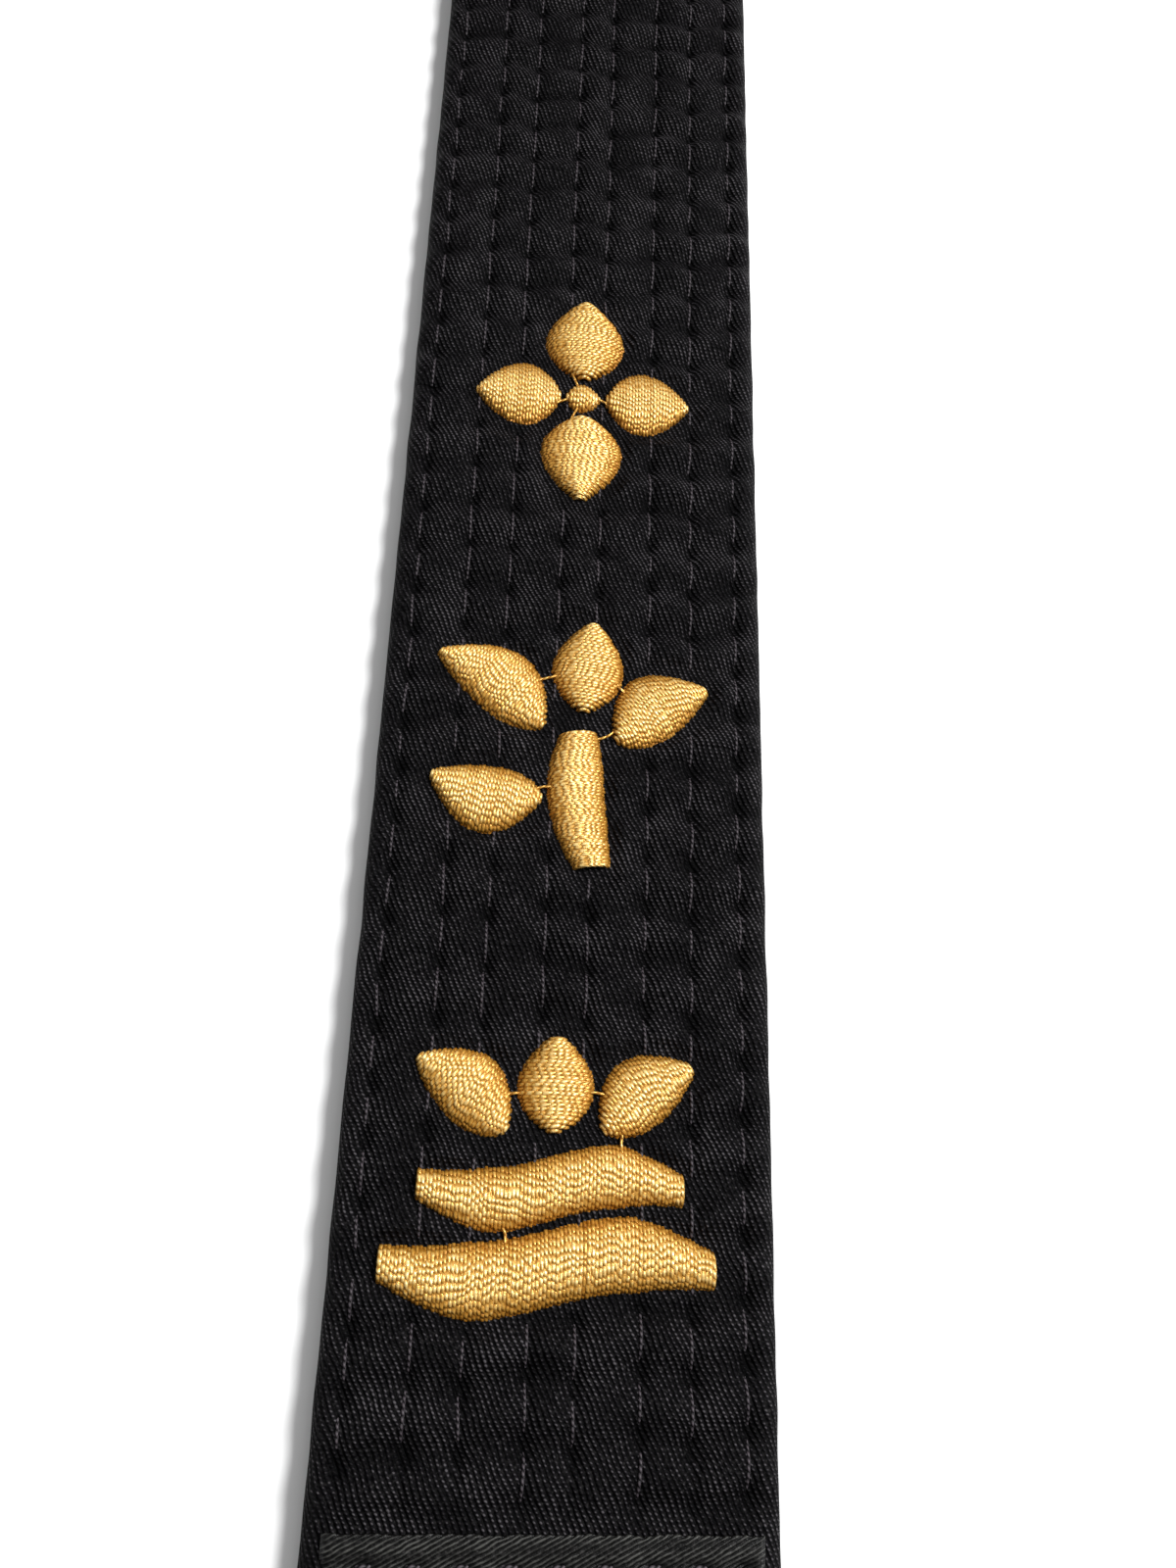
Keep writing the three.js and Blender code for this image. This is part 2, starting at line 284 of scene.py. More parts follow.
def coverSection(faceStep, backStep, edgeSteps):
    # the cloth's outer line from seam to seam: x, height, and the way out
    w, h, r = belt["width"] / 2, belt["thickness"] / 2, belt["edgeRadius"]
    seam = belt["seamAt"]
    line = []

    def across(x0, x1, height, step, out):
        for x in np.linspace(x0, x1, max(2, int(abs(x1 - x0) / step) + 1)):
            line.append((x, height, 0, out))

    def corner(cx, cz, a0):
        for a in np.linspace(a0, a0 + math.pi / 2, edgeSteps + 1)[1:-1]:
            line.append((cx + r * math.cos(a), cz + r * math.sin(a), math.cos(a), math.sin(a)))

    across(seam + belt["seamGap"] / 2, w - r, -h, backStep, -1)
    corner(w - r, -h + r, -math.pi / 2)
    line.append((w, -h + r, 1, 0))
    line.append((w, h - r, 1, 0))
    corner(w - r, h - r, 0)
    across(w - r, -w + r, h, faceStep, 1)
    corner(-w + r, h - r, math.pi / 2)
    line.append((-w, h - r, -1, 0))
    line.append((-w, -h + r, -1, 0))
    corner(-w + r, -h + r, math.pi)
    across(-w + r, seam - belt["seamGap"] / 2, -h, backStep, -1)
    return np.array(line)


def onBack(height):
    # the back is quilted more flatly, and stays above what it lies on
    return np.minimum(height * relief["backShare"] - relief["backRise"], 0)


def carryHollowShade(cloth, paintedHollowShade):
    # how deep each point lies in a pucker, carried for the painted shade in the puckers, the same on the
    # cloth's two sides
    both = np.concatenate([paintedHollowShade, paintedHollowShade[:, ::-1]], 1).astype(np.float32)
    cloth.data.attributes.new("paintedHollowShade", "FLOAT", "POINT").data.foreach_set("value", both.ravel())


def makeCover(name, stations, faceStep, backStep, edgeSteps, material, closedEnd=False):
    line = coverSection(faceStep, backStep, edgeSteps)
    x, h, nx, nh = line.T
    s, across = np.meshgrid(stations, x, indexing="ij")
    around = np.concatenate([[0], np.cumsum(np.hypot(np.diff(x), np.diff(h)))])
    faceHeight, pull = quilted(across, s, 3, True)
    backHeight, backPull = quilted(across, s, 9, False)
    backHeight = onBack(backHeight)
    if faceStep > 3 * mm:  # wound inside, where only the edges show and one turn presses on the next
        faceHeight = faceHeight * relief["insideTurns"] + relief["woundLift"]
        backHeight = np.minimum(backHeight + relief["backRise"], 0) * relief["insideTurns"]
    upper, lower = nh > 0.2, nh < -0.2
    lift = np.where(upper, faceHeight * np.clip(nh, 0, 1) ** 2, 0)
    lift = lift + np.where(lower, backHeight * nh ** 2, 0)
    sides = 0.07 * mm * softNoise(across * 0, s / (9 * mm), 77) * np.abs(nx)
    pinch = np.ones_like(s)
    if closedEnd:
        pinch = np.clip(0.3 + 0.7 * np.sqrt(np.clip(s / (1.4 * mm), 0, 1)), 0, 1)
    outX = across + nx * (lift + sides)
    outH = (h + nh * lift) * pinch
    inX = outX - nx * belt["cloth"]
    inH = outH - nh * belt["cloth"] * pinch
    outer, inner = onPath(outX, s, outH), onPath(inX, s, inH)[:, ::-1]
    points = np.concatenate([outer, inner], 1).reshape(-1, 3)
    pulled = np.where(upper, pull, np.where(lower, backPull, 0))
    u = -around[None] + pulled
    uv = np.stack([u, s + pulled * 0.6], -1) * 10  # one unit of the map is a tenth of a metre
    uv = np.concatenate([uv, uv[:, ::-1]], 1).reshape(-1, 2)
    faces = windingFlip(points, ringFaces(len(stations), len(x)))
    cover = newObject(name, points, faces, uv, material)
    # painted shade: the deeper the pucker or fold, the darker the cloth is painted
    paintedHollowShade = np.clip(-np.where(upper, faceHeight, backHeight) / relief["deepest"] + 0.08, 0, 1) * np.abs(nh)
    carryHollowShade(cover, paintedHollowShade)
    return cover


def makeBand(name, stations, width, low, high, material, columns=9):
    # a plain flat layer of cloth between two heights over the middle line
    x = np.linspace(-width / 2, width / 2, columns)
    s, across = np.meshgrid(stations, x, indexing="ij")
    top, bottom = onPath(across, s, high + 0 * s), onPath(across, s, low + 0 * s)[:, ::-1]
    points = np.concatenate([top, bottom], 1).reshape(-1, 3)
    uv = np.stack([across, s], -1) * 10
    uv = np.concatenate([uv, uv[:, ::-1]], 1).reshape(-1, 2)
    faces = windingFlip(points, ringFaces(len(stations), columns))
    return newObject(name, points, faces, uv, material)


def nodeGroup(name, inputs, outputs):
    group = bpy.data.node_groups.new(name, "ShaderNodeTree")
    for label, kind, value in inputs:
        socket = group.interface.new_socket(label, in_out="INPUT", socket_type=kind)
        if value is not None:
            socket.default_value = value
    for label, kind in outputs:
        group.interface.new_socket(label, in_out="OUTPUT", socket_type=kind)
    return group, group.nodes.new("NodeGroupInput"), group.nodes.new("NodeGroupOutput")


def mathNode(tree, operation, a, b=None, c=None, clamp=False):
    node = tree.nodes.new("ShaderNodeMath")
    node.operation = operation
    node.use_clamp = clamp
    for socket, value in zip(node.inputs, (a, b, c)):
        if value is None:
            continue
        if isinstance(value, (int, float)):
            socket.default_value = value
        else:
            tree.links.new(value, socket)
    return node.outputs[0]


def noiseNode(tree, vector, scale, detail=2.0):
    node = tree.nodes.new("ShaderNodeTexNoise")
    node.inputs["Scale"].default_value = scale
    node.inputs["Detail"].default_value = detail
    tree.links.new(vector, node.inputs["Vector"])
    return node.outputs[0]


def makeTwillGroup():
    # slanting ribs of a twill weave, laid out on a cloth map in millimetres
    group, given, made = nodeGroup(
        "twillWeave",
        [("Cloth", "NodeSocketVector", None), ("Rib Pitch", "NodeSocketFloat", 0.6),
         ("Rib Across", "NodeSocketFloat", 0.906), ("Rib Along", "NodeSocketFloat", 0.42),
         ("Pick Pitch", "NodeSocketFloat", 0.46), ("Waviness", "NodeSocketFloat", 0.5)],
        [("Height", "NodeSocketFloat"), ("Rib Tone And Painted Light", "NodeSocketFloat"), ("Lint", "NodeSocketFloat")],
    )
    cloth = given.outputs["Cloth"]
    split = group.nodes.new("ShaderNodeSeparateXYZ")
    group.links.new(cloth, split.inputs[0])
    x, y = split.outputs[0], split.outputs[1]

    def calc(operation, *values):
        return mathNode(group, operation, *values)

    def ripple(turns):  # 0 to 1 and back, once for each whole number
        return calc("MULTIPLY_ADD", calc("SINE", calc("MULTIPLY", turns, 2 * math.pi)), 0.5, 0.5)

    over = calc("MULTIPLY", y, given.outputs["Rib Along"])
    over = calc("MULTIPLY_ADD", x, given.outputs["Rib Across"], over)
    wander = calc("SUBTRACT", noiseNode(group, cloth, 0.5, 3), 0.5)
    ribs = calc("DIVIDE", over, given.outputs["Rib Pitch"])
    ridge = ripple(calc("MULTIPLY_ADD", wander, given.outputs["Waviness"], ribs))
    picks = calc("DIVIDE", calc("MULTIPLY_ADD", x, 0.04, y), given.outputs["Pick Pitch"])
    bead = ripple(calc("MULTIPLY_ADD", wander, 0.8, picks))
    yarn = calc("MULTIPLY", calc("POWER", ridge, 0.8), calc("MULTIPLY_ADD", bead, 0.42, 0.58))
    fibre = noiseNode(group, cloth, 7.0, 3)
    height = calc("MULTIPLY_ADD", fibre, 0.35, yarn)
    uneven = noiseNode(group, cloth, 1.7, 2)
    patch = noiseNode(group, cloth, 0.2, 3)
    # the crests' tone, uneven at random; the colour ramps turn it into a painted highlight on the crests
    # and painted shade in the grooves
    ribToneAndPaintedLight = calc("MULTIPLY", yarn, calc("MULTIPLY_ADD", uneven, 1.2, 0.4))
    ribToneAndPaintedLight = calc("MULTIPLY", ribToneAndPaintedLight, calc("ADD", patch, 0.42))
    lint = calc("POWER", noiseNode(group, cloth, 2.6, 4), 6.0)
    group.links.new(height, made.inputs["Height"])
    group.links.new(ribToneAndPaintedLight, made.inputs["Rib Tone And Painted Light"])
    group.links.new(lint, made.inputs["Lint"])
    return group


twillGroup = makeTwillGroup()


def startMaterial(name, roughness, specular, sheen=0.0):
    material = bpy.data.materials.new(name)
    material.use_nodes = True
    tree = material.node_tree
    shader = tree.nodes["Principled BSDF"]
    shader.inputs["Roughness"].default_value = roughness
    shader.inputs["Specular IOR Level"].default_value = specular
    shader.inputs["Sheen Weight"].default_value = sheen
    shader.inputs["Sheen Roughness"].default_value = 0.45
    return material, tree, shader


def colourRamp(tree, value, stops):
    ramp = tree.nodes.new("ShaderNodeValToRGB")
    tree.links.new(value, ramp.inputs[0])
    elements = ramp.color_ramp.elements
    while len(elements) < len(stops):
        elements.new(0.5)
    for element, (place, colour) in zip(elements, stops):
        element.position = place
        element.color = (*colour, 1)
    return ramp.outputs[0]


def addBump(tree, shader, height, distance):
    bump = tree.nodes.new("ShaderNodeBump")
    bump.inputs["Distance"].default_value = distance
    bump.inputs["Strength"].default_value = 1.0
    tree.links.new(height, bump.inputs["Height"])
    tree.links.new(bump.outputs[0], shader.inputs["Normal"])


def clothMap(tree):
    # the piece's own cloth map, in millimetres
    source = tree.nodes.new("ShaderNodeUVMap")
    source.uv_map = "cloth"
    scale = tree.nodes.new("ShaderNodeVectorMath")
    scale.operation = "SCALE"
    scale.inputs["Scale"].default_value = 100.0
    tree.links.new(source.outputs[0], scale.inputs[0])
    return scale.outputs[0]


def twillMaterial(name, look):
    material, tree, shader = startMaterial(name, look["roughness"], look["specular"], look["sheen"])
    weave = tree.nodes.new("ShaderNodeGroup")
    weave.node_tree = twillGroup
    cloth = clothMap(tree)
    tree.links.new(cloth, weave.inputs["Cloth"])
    weave.inputs["Rib Pitch"].default_value = look["ribPitch"]
    weave.inputs["Rib Across"].default_value = look["ribAcross"]
    weave.inputs["Rib Along"].default_value = look["ribAlong"]
    weave.inputs["Pick Pitch"].default_value = look["pickPitch"]
    weave.inputs["Waviness"].default_value = look["waviness"]
    colour = colourRamp(tree, weave.outputs["Rib Tone And Painted Light"], look["colours"])
    mix = tree.nodes.new("ShaderNodeMix")
    mix.data_type = "RGBA"
    lint = mathNode(tree, "MULTIPLY", weave.outputs["Lint"], look["lint"], clamp=True)
    tree.links.new(lint, mix.inputs["Factor"])
    tree.links.new(colour, mix.inputs["A"])
    mix.inputs["B"].default_value = (0.09, 0.085, 0.085, 1)
    colour = mix.outputs["Result"]
    if "hollowShadeStrength" in look:  # painted shade: the puckered places by the stitches are painted darker, as if in shade
        carried = tree.nodes.new("ShaderNodeAttribute")
        carried.attribute_name = "paintedHollowShade"
        paintedShadeMix = tree.nodes.new("ShaderNodeMix")
        paintedShadeMix.data_type = "RGBA"
        hollowShadeFactor = mathNode(tree, "MULTIPLY", carried.outputs["Fac"], look["hollowShadeStrength"])
        tree.links.new(hollowShadeFactor, paintedShadeMix.inputs["Factor"])
        tree.links.new(colour, paintedShadeMix.inputs["A"])
        # the nearly black colour of the painted shade
        paintedShadeMix.inputs["B"].default_value = (0.0003, 0.0003, 0.0004, 1)
        colour = paintedShadeMix.outputs["Result"]
    tree.links.new(colour, shader.inputs["Base Color"])
    addBump(tree, shader, weave.outputs["Height"], look["bump"])
    return material


def readThreadMap(tree, twist):
    # from the map that each thread carries: turns of its twist so far, and its shade
    carried = tree.nodes.new("ShaderNodeAttribute")
    carried.attribute_name = "threadMap"
    split = tree.nodes.new("ShaderNodeSeparateXYZ")
    tree.links.new(carried.outputs["Vector"], split.inputs[0])
    run, around, shade = split.outputs
    return mathNode(tree, "ADD", mathNode(tree, "DIVIDE", run, twist), around), shade


def twistedPlies(tree, turns):
    # 1 along the middle of each ply, 0 in the groove between two
    return mathNode(tree, "ABSOLUTE", mathNode(tree, "SINE", mathNode(tree, "MULTIPLY", turns, math.pi)))


def threadMaterial(name, look):
    # sewing thread: strands twisted round each other; the colour is a painted sheen along each strand and
    # painted shade in the grooves between them
    material, tree, shader = startMaterial(name, look["roughness"], look["specular"], look["sheen"])
    turns, _ = readThreadMap(tree, look["twist"])
    strand = twistedPlies(tree, turns)
    tree.links.new(colourRamp(tree, strand, look["colours"]), shader.inputs["Base Color"])
    addBump(tree, shader, strand, look["bump"])
    return material


def satinMaterial(name, look):
    # embroidery thread: two plies twisted together, glossy, with the shade that each strand carries; the
    # colour is a painted highlight along each ply and painted shade in the grooves between plies
    material, tree, shader = startMaterial(name, look["roughness"], look["specular"])
    shader.inputs["Metallic"].default_value = look["metallic"]
    turns, shade = readThreadMap(tree, look["twist"])
    place = tree.nodes.new("ShaderNodeTexCoord").outputs["Object"]
    fleck = noiseNode(tree, place, 2600, 3)
    turns = mathNode(tree, "MULTIPLY_ADD", noiseNode(tree, place, 600, 1), look["uneven"], turns)
    ply = twistedPlies(tree, turns)
    paintedPlyShade = mathNode(tree, "MULTIPLY_ADD", ply, look["plyShade"], 1 - look["plyShade"])
    shade = mathNode(tree, "MULTIPLY", paintedPlyShade, shade)
    shade = mathNode(tree, "MULTIPLY_ADD", mathNode(tree, "SUBTRACT", fleck, 0.5), look["fleck"], shade)
    tree.links.new(colourRamp(tree, shade, look["colours"]), shader.inputs["Base Color"])
    addBump(tree, shader, mathNode(tree, "ADD", ply, fleck), look["bump"])
    return material


# painted light: the top colour stop is a painted highlight on the rib crests, the lowest stops painted
# shade in the grooves
blackTwill = twillMaterial("blackTwill", {
    "ribPitch": 0.56, "ribAcross": 0.9, "ribAlong": 0.44, "pickPitch": 0.39, "waviness": 0.25,
    "bump": 0.19 * mm, "roughness": 0.6, "specular": 0.03, "sheen": 0.0, "lint": 1.1, "hollowShadeStrength": 0.75,
    "colours": [(0.06, (0.0001, 0.0001, 0.0002)), (0.35, (0.001, 0.0009, 0.0013)),
                (0.7, (0.0072, 0.0066, 0.0077)), (1.0, (0.07, 0.065, 0.07))],
})
# painted light: the top colour stop is a painted highlight on the pressed ribs, the lowest stops painted
# shade between them
hemTwill = twillMaterial("pressedHemTwill", {
    "ribPitch": 0.42, "ribAcross": 0.454, "ribAlong": 0.891, "pickPitch": 1.7, "waviness": 0.9,
    "bump": 0.14 * mm, "roughness": 0.36, "specular": 0.16, "sheen": 0.0, "lint": 2.2, "hollowShadeStrength": 0.95,
    "colours": [(0.05, (0.0004, 0.0004, 0.0004)), (0.4, (0.002, 0.002, 0.0018)),
                (1.0, (0.06, 0.0605, 0.0555))],
})
# the brighter stops paint light on the rib crests, the darker ones painted shade in the grooves
coreCanvas = twillMaterial("coreCanvas", {
    "ribPitch": 0.9, "ribAcross": 1.0, "ribAlong": 0.0, "pickPitch": 0.9, "waviness": 0.2, "bump": 0.1 * mm,
    "colours": [(0.05, (0.02, 0.018, 0.014)), (0.5, (0.045, 0.04, 0.032)), (1.0, (0.08, 0.072, 0.06))],
    "roughness": 0.9, "specular": 0.2, "sheen": 0.1, "lint": 0.5,
})
# painted light: the top stop is a painted sheen on the ply crests, the bottom stop painted shade in the
# grooves
blackThread = threadMaterial("blackThread", {
    "twist": 0.5, "bump": 0.09 * mm, "roughness": 0.5, "specular": 0.22, "sheen": 0.0,
    "colours": [(0.1, (0.002, 0.0015, 0.002)), (0.6, (0.016, 0.013, 0.0155)), (1.0, (0.062, 0.052, 0.059))],
})
# painted light: the colour stops run from a painted deep orange shade to a painted pale highlight
goldSatin = satinMaterial("goldSatin", {
    "roughness": 0.32, "specular": 0.6, "metallic": 0.45, "twist": 0.8, "uneven": 1.5,
    "plyShade": 0.55, "fleck": 0.7, "bump": 0.1 * mm,
    "colours": [(0.0, (0.15, 0.04, 0.001)), (0.3, (0.36, 0.14, 0.009)), (0.65, (0.62, 0.325, 0.055)),
                (1.0, (0.95, 0.70, 0.28))],
})
# painted shade: the padding is a darker gold so that the gaps between the satin threads look shaded
goldPaddingInShade = satinMaterial("goldPaddingInShade", {
    "roughness": 0.6, "specular": 0.3, "metallic": 0.0, "twist": 0.8, "uneven": 1.0,
    "plyShade": 0.4, "fleck": 0.5, "bump": 0.05 * mm,
    "colours": [(0.0, (0.10, 0.035, 0.004)), (1.0, (0.26, 0.11, 0.015))],
})
print("materials ready")


def steps(start, end, step):
    return np.linspace(start, end, max(2, int(round(abs(end - start) / step)) + 1))


emblemAt = belt["emblemAt"]
finestTo = 0.222  # coarser steps from here to the roll
outerTo = 0.7  # a little past the end of the roll's outer turn
upperSteps = np.concatenate([steps(emblemAt[2], finestTo, 0.45 * mm)[:-1],
                             steps(finestTo, belt["tail"], 1.2 * mm)])
# places along the belt, steps across the face and the back, steps round an edge, and the bodies
coverStretches = {
    "cover_end": (steps(0, emblemAt[1], 0.45 * mm), 0.45 * mm, 1.2 * mm, 5, ("tail_end", "tail_middle")),
    "cover_middle": (steps(emblemAt[1], emblemAt[2], 0.45 * mm), 0.45 * mm, 1.2 * mm, 5,
                     ("tail_middle", "tail_upper")),
    "cover_upper": (upperSteps, 0.45 * mm, 1.2 * mm, 5, ("tail_upper", "roll")),
    "cover_roll_outer": (steps(belt["tail"], outerTo, 1.3 * mm), 1.1 * mm, 0.7 * mm, 4, ("roll",)),
    "cover_roll_inner": (steps(outerTo, belt["length"], 2.7 * mm), 3.4 * mm, 3.4 * mm, 3, ("roll",)),
}
middle = belt["thickness"] / 2


def follow(obj, bodies):
    # ride on one body, or stay where it is made when it lies between the two that meet at a hinge
    if len(bodies) == 1:
        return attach(obj, bodies[0])
    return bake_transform(obj)


coverNodes = {"cover_end": ["cover_tail_end"], "cover_middle": ["cover_tail_middle"],
              "cover_upper": ["cover_tail_upper", "cover_roll_run"],
              "cover_roll_outer": ["cover_roll_turns"], "cover_roll_inner": ["cover_roll_turns"]}
for name, (stations, faceStep, backStep, edgeSteps, bodies) in coverStretches.items():
    piece = makeCover(name, stations, faceStep, backStep, edgeSteps, blackTwill, name == "cover_end")
    follow(piece, bodies)
    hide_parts(*coverNodes[name])
print("cover made")

plyThickness, layerGap, plyWidth = 0.85 * mm, 0.1 * mm, 43.0 * mm
plyEnds = [1.3 * mm, emblemAt[1], emblemAt[2], belt["tail"], belt["length"] - 0.3 * mm]
plyBodies = [("tail_end", "tail_middle"), ("tail_middle", "tail_upper"), ("tail_upper", "roll"), ("roll",)]
plyNames = ["tail_end", "tail_middle", "tail_upper", "roll"]
for layer in range(3):
    low = (layer - 1) * (plyThickness + layerGap) - plyThickness / 2
    for start, end, bodies, stretch in zip(plyEnds, plyEnds[1:], plyBodies, plyNames):
        piece = makeBand(f"core_ply_{layer + 1}_{stretch}", steps(start, end, 4 * mm), plyWidth, low,
                         low + plyThickness, coreCanvas)
        follow(piece, bodies)
        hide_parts(f"ply_{layer + 1}_{stretch}")
print("core plies made")


def geometryTree(name, inputs):
    tree = bpy.data.node_groups.new(name, "GeometryNodeTree")
    tree.interface.new_socket("Geometry", in_out="INPUT", socket_type="NodeSocketGeometry")
    for label, value in inputs.items():
        socket = tree.interface.new_socket(label, in_out="INPUT", socket_type="NodeSocketFloat")
        socket.default_value = value
    tree.interface.new_socket("Material", in_out="INPUT", socket_type="NodeSocketMaterial")
    tree.interface.new_socket("Geometry", in_out="OUTPUT", socket_type="NodeSocketGeometry")
    return tree, tree.nodes.new("NodeGroupInput"), tree.nodes.new("NodeGroupOutput")


def add(tree, kind, **links):
    # one node with its sockets linked or set; a key is the socket's name with _ for a space
    node = tree.nodes.new(kind)
    for key, value in links.items():
        socket = node.inputs[key.replace("_", " ")]
        if isinstance(value, bpy.types.NodeSocket):
            tree.links.new(value, socket)
        else:
            socket.default_value = value
    return node


def grow(guide, tree, name, values, material):
    # runs the tree on the guide and keeps the result as a plain mesh
    modifier = guide.modifiers.new("grow", "NODES")
    modifier.node_group = tree
    for item in tree.interface.items_tree:
        if item.in_out == "INPUT" and item.name in values:
            modifier[item.identifier] = values[item.name]
        if item.in_out == "INPUT" and item.name == "Material":
            modifier[item.identifier] = material
    evaluated = guide.evaluated_get(bpy.context.evaluated_depsgraph_get())
    mesh = bpy.data.meshes.new_from_object(evaluated)
    obj = bpy.data.objects.new(name, mesh)
    bpy.context.scene.collection.objects.link(obj)
    bpy.data.objects.remove(guide)
    return obj


def named(tree, attribute):
    node = tree.nodes.new("GeometryNodeInputNamedAttribute")
    node.data_type = "FLOAT_VECTOR"
    node.inputs["Name"].default_value = attribute
    return node.outputs["Attribute"]


def capture(tree, geometry, value, label):
    # holds a value on the points of a curve: the geometry and the value carried with it
    node = tree.nodes.new("GeometryNodeCaptureAttribute")
    node.capture_items.new("FLOAT", label)
    tree.links.new(geometry, node.inputs["Geometry"])
    tree.links.new(value, node.inputs[1])
    return node.outputs[0], node.outputs[1]


def roundThread(tree, curve, width):
    # a six-sided tube along the curve, and how far round it each point lies, 0 to 1
    circle = add(tree, "GeometryNodeCurvePrimitiveCircle", Resolution=6)
    tree.links.new(mathNode(tree, "MULTIPLY", width, 0.5), circle.inputs["Radius"])
    share = add(tree, "GeometryNodeSplineParameter").outputs["Factor"]
    profile, around = capture(tree, circle.outputs[0], share, "around")
    tube = add(tree, "GeometryNodeCurveToMesh", Curve=curve, Profile_Curve=profile, Fill_Caps=True)
    return tube.outputs[0], around


def storeThreadMap(tree, geometry, value):
    store = tree.nodes.new("GeometryNodeStoreNamedAttribute")
    store.data_type = "FLOAT_VECTOR"
    store.inputs["Name"].default_value = "threadMap"
    tree.links.new(geometry, store.inputs["Geometry"])
    tree.links.new(value, store.inputs["Value"])
    return store.outputs[0]


def dress(tree, geometry, given, made):
    # real meshes, shaded smooth, in the material that the tree is given
    real = add(tree, "GeometryNodeRealizeInstances", Geometry=geometry).outputs[0]
    smooth = add(tree, "GeometryNodeSetShadeSmooth", Geometry=real).outputs[0]
    dressed = add(tree, "GeometryNodeSetMaterial", Geometry=smooth, Material=given.outputs["Material"])
    tree.links.new(dressed.outputs[0], made.inputs[0])


def makeStitchTree():
    tree, given, made = geometryTree("lockstitches", {
        "Stitch": 5.8 * mm, "Width": 0.34 * mm, "Rise": 0.1 * mm, "Dive": 2.2 * mm, "Dash": 0.2})
    line = add(tree, "GeometryNodeCurvePrimitiveLine")
    line.inputs["End"].default_value = (1, 0, 0)
    points = add(tree, "GeometryNodeResampleCurve", Curve=line.outputs[0], Count=11)
    share = add(tree, "GeometryNodeSplineParameter").outputs["Factor"]
    signed = mathNode(tree, "MULTIPLY_ADD", share, 2.0, -1.0)
    x = mathNode(tree, "MULTIPLY", mathNode(tree, "MULTIPLY", signed, 0.485), given.outputs["Stitch"])
    past = mathNode(tree, "SUBTRACT", mathNode(tree, "ABSOLUTE", signed), given.outputs["Dash"])
    past = mathNode(tree, "MAXIMUM", past, 0.0)
    drop = mathNode(tree, "MULTIPLY", mathNode(tree, "POWER", past, 1.3), given.outputs["Dive"])
    z = mathNode(tree, "SUBTRACT", given.outputs["Rise"], drop)
    place = add(tree, "ShaderNodeCombineXYZ", X=x, Z=z)
    bent = add(tree, "GeometryNodeSetPosition", Geometry=points.outputs[0], Position=place.outputs[0])
    curve, run = capture(tree, bent.outputs[0], x, "along")
    tube, around = roundThread(tree, curve, given.outputs["Width"])
    inMillimetres = mathNode(tree, "MULTIPLY", run, 1000.0)
    carried = add(tree, "ShaderNodeCombineXYZ", X=inMillimetres, Y=around)
    stitch = storeThreadMap(tree, tube, carried.outputs[0])
    turn = tree.nodes.new("FunctionNodeAxesToRotation")
    turn.primary_axis, turn.secondary_axis = "X", "Z"
    tree.links.new(named(tree, "along"), turn.inputs[0])
    tree.links.new(named(tree, "out"), turn.inputs[1])
    placed = add(tree, "GeometryNodeInstanceOnPoints", Points=given.outputs["Geometry"], Instance=stitch,
                 Rotation=turn.outputs[0])
    dress(tree, placed.outputs[0], given, made)
    return tree


stitchTree = makeStitchTree()


def guideAt(name, points, along, out):
    mesh = bpy.data.meshes.new(name)
    mesh.from_pydata([tuple(p) for p in points], [], [])
    for label, vectors in (("along", along), ("out", out)):
        attribute = mesh.attributes.new(label, "FLOAT_VECTOR", "POINT")
        attribute.data.foreach_set("vector", np.asarray(vectors, np.float32).ravel())
    obj = bpy.data.objects.new(name, mesh)
    bpy.context.scene.collection.objects.link(obj)
    return obj


def rowStitches(name, start, end, face, seed):
    # every stitch of the eight rows whose middle lies between two places along the belt
    rng = np.random.default_rng(seed)
    points, alongs, outs = [], [], []
    p = rows["stitch"]
    half = belt["thickness"] / 2
    for rx, first in zip(rowX, rows["starts"]):
        before = first + 0.5  # from the belt's end to the middle of the row's first stitch, in stitches
        middles = (np.arange(math.ceil(start / p - before), math.floor(end / p - before) + 1) + before) * p
        middles = middles[(middles - p / 2 > rows["fromEnd"]) & (middles < end)]
        jitter = rng.normal(0, 0.07 * mm, len(middles))
        drawn = np.abs(rng.normal(0, 0.05 * mm, len(middles)))  # some are drawn deeper into the cloth
        height = half + quilted(rx + jitter, middles, 3, True)[0] - drawn
        if not face:
            height = -half - onBack(quilted(rx + jitter, middles, 9, False)[0]) + drawn
        _, direction, normal = pathAt(middles)
        points.append(onPath(rx + jitter, middles, height))
        lean = rng.normal(0, 0.035, len(middles))
        alongs.append(np.stack([lean, direction[:, 0], direction[:, 1]], -1))
        sign = 1 if face else -1
        outs.append(np.stack([lean * 0, sign * normal[:, 0], sign * normal[:, 1]], -1))
    guide = guideAt(name + "_guide", np.concatenate(points), np.concatenate(alongs), np.concatenate(outs))
    return grow(guide, stitchTree, name, {"Stitch": p, "Width": rows["thread"]}, blackThread)


stitchStretches = [("end", 0, emblemAt[1], ("tail_end", "tail_middle")),
                   ("middle", emblemAt[1], emblemAt[2], ("tail_middle", "tail_upper")),
                   ("upper", emblemAt[2], belt["tail"], ("tail_upper", "roll")),
                   ("roll", belt["tail"], outerTo, ("roll",))]
for index, (stretch, start, end, bodies) in enumerate(stitchStretches):
    for face, kind in ((True, "needle_threads"), (False, "bobbin_threads")):
        if face and stretch == "roll":
            continue  # the face is wound inside there
        piece = rowStitches(f"{kind}_{stretch}", start, end, face, 20 + index)
        follow(piece, bodies)
        if face:
            stretchNode = {"end": "tail_end", "middle": "tail_middle", "upper": "tail_upper"}[stretch]
            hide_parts(*[f"needle_thread_{i + 1}_{stretchNode}" for i in range(8)])
print("stitches made")

